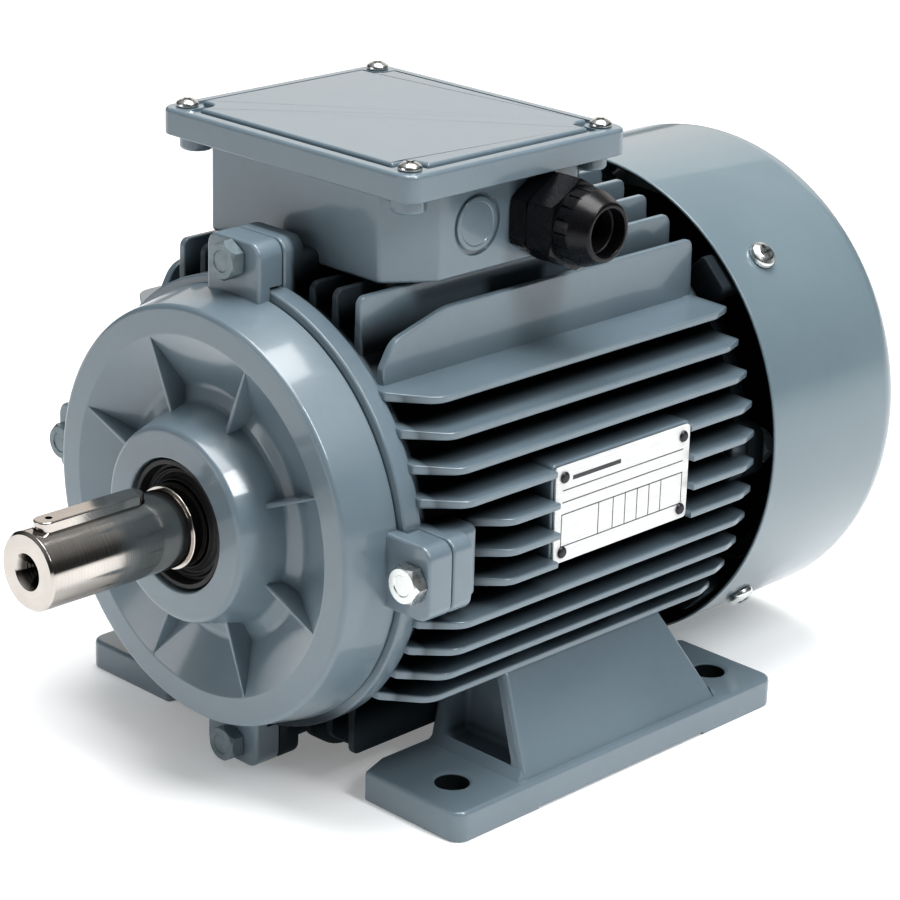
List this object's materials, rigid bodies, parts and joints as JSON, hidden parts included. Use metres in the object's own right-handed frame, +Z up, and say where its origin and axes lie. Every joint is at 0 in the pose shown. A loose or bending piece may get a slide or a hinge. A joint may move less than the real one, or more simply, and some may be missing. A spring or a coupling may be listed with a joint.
{
  "type": "electric motor",
  "caption": "Foot-mounted, totally enclosed, fan-cooled induction motor with ribbed frame, keyed shaft, top terminal box, cable gland and fan cover.",
  "frame": {"origin": "centre of the footprint on the plane that the feet stand on", "axes": "+Y along the shaft from the drive end towards the fan cover, +Z up, +X towards the cable gland"},
  "size_m": [0.202, 0.354, 0.2325],
  "materials": {
    "paint": "satin blue-grey enamel on cast aluminium",
    "cover_paint": "smooth satin blue-grey enamel on pressed steel",
    "shaft_steel": "turned and ground",
    "bearing_steel": "ground",
    "zinc_steel": "bright zinc plated",
    "lamination": "stacked electrical steel sheet",
    "copper_winding": "varnished enamelled copper wire",
    "cast_aluminium": "die cast, bare",
    "rubber": "matt",
    "black_nylon": "moulded, satin",
    "moulding": "moulded thermoset",
    "label_metal": "silver plate with plain ruled lines"
  },
  "bodies": {
    "stator": {"frame_housing": "paint", "foot_right": "paint", "foot_left": "paint", "foot_bolt_1": "zinc_steel", "foot_bolt_2": "zinc_steel", "foot_bolt_3": "zinc_steel", "foot_bolt_4": "zinc_steel", "drive_end_shield": "paint", "drive_end_bolt_1": "zinc_steel", "drive_end_bolt_2": "zinc_steel", "drive_end_bolt_3": "zinc_steel", "drive_end_bolt_4": "zinc_steel", "drive_end_seal": "rubber", "rear_end_shield": "paint", "rear_end_bolt_1": "zinc_steel", "rear_end_bolt_2": "zinc_steel", "rear_end_bolt_3": "zinc_steel", "rear_end_bolt_4": "zinc_steel", "stator_core": "lamination", "stator_winding": "copper_winding", "drive_bearing_outer_ring": "bearing_steel", "rear_bearing_outer_ring": "bearing_steel", "bearing_wave_spring": "bearing_steel", "fan_cover": "cover_paint", "fan_cover_screw_1": "zinc_steel", "fan_cover_screw_2": "zinc_steel", "fan_cover_screw_3": "zinc_steel", "fan_cover_screw_4": "zinc_steel", "terminal_box_base": "paint", "box_gasket": "rubber", "box_screw_1": "zinc_steel", "box_screw_2": "zinc_steel", "lid_gasket": "rubber", "terminal_board": "moulding", "earth_screw": "zinc_steel", "gland_body": "black_nylon", "gland_locknut": "black_nylon", "gland_cap_nut": "black_nylon", "gland_sealing_insert": "rubber", "rating_plate": "label_metal", "rating_plate_rivet_1": "zinc_steel", "rating_plate_rivet_2": "zinc_steel", "rating_plate_rivet_3": "zinc_steel", "rating_plate_rivet_4": "zinc_steel"},
    "rotor": {"shaft": "shaft_steel", "shaft_key": "shaft_steel", "rotor_core": "lamination", "rotor_cage": "cast_aluminium", "cooling_fan": "black_nylon", "fan_circlip": "bearing_steel", "drive_bearing_inner_ring": "bearing_steel", "rear_bearing_inner_ring": "bearing_steel", "rear_v_ring_seal": "rubber"},
    "drive_ball_set": {"drive_bearing_ball_cage": "bearing_steel"},
    "rear_ball_set": {"rear_bearing_ball_cage": "bearing_steel"},
    "lid": {"terminal_box_lid": "paint", "lid_screw_1": "zinc_steel", "lid_screw_2": "zinc_steel", "lid_screw_3": "zinc_steel", "lid_screw_4": "zinc_steel"}
  },
  "joints": [
    {"name": "rotor_spin", "type": "hinge", "parent": "stator", "child": "rotor", "pos_m": [0, 0, 0.1], "axis": [0, 1, 0], "continuous": true},
    {"name": "drive_balls_spin", "type": "hinge", "parent": "stator", "child": "drive_ball_set", "pos_m": [0, -0.0947, 0.1], "axis": [0, 1, 0], "continuous": true},
    {"name": "rear_balls_spin", "type": "hinge", "parent": "stator", "child": "rear_ball_set", "pos_m": [0, 0.0974, 0.1], "axis": [0, 1, 0], "continuous": true},
    {"name": "lid_lift", "type": "slide", "parent": "stator", "child": "lid", "axis": [0, 0, 1], "range_m": [0, 0.06]}
  ],
  "couplings": [
    {"joint": "drive_balls_spin", "follows": "rotor_spin", "ratio": 0.3965},
    {"joint": "rear_balls_spin", "follows": "rotor_spin", "ratio": 0.3965}
  ]
}
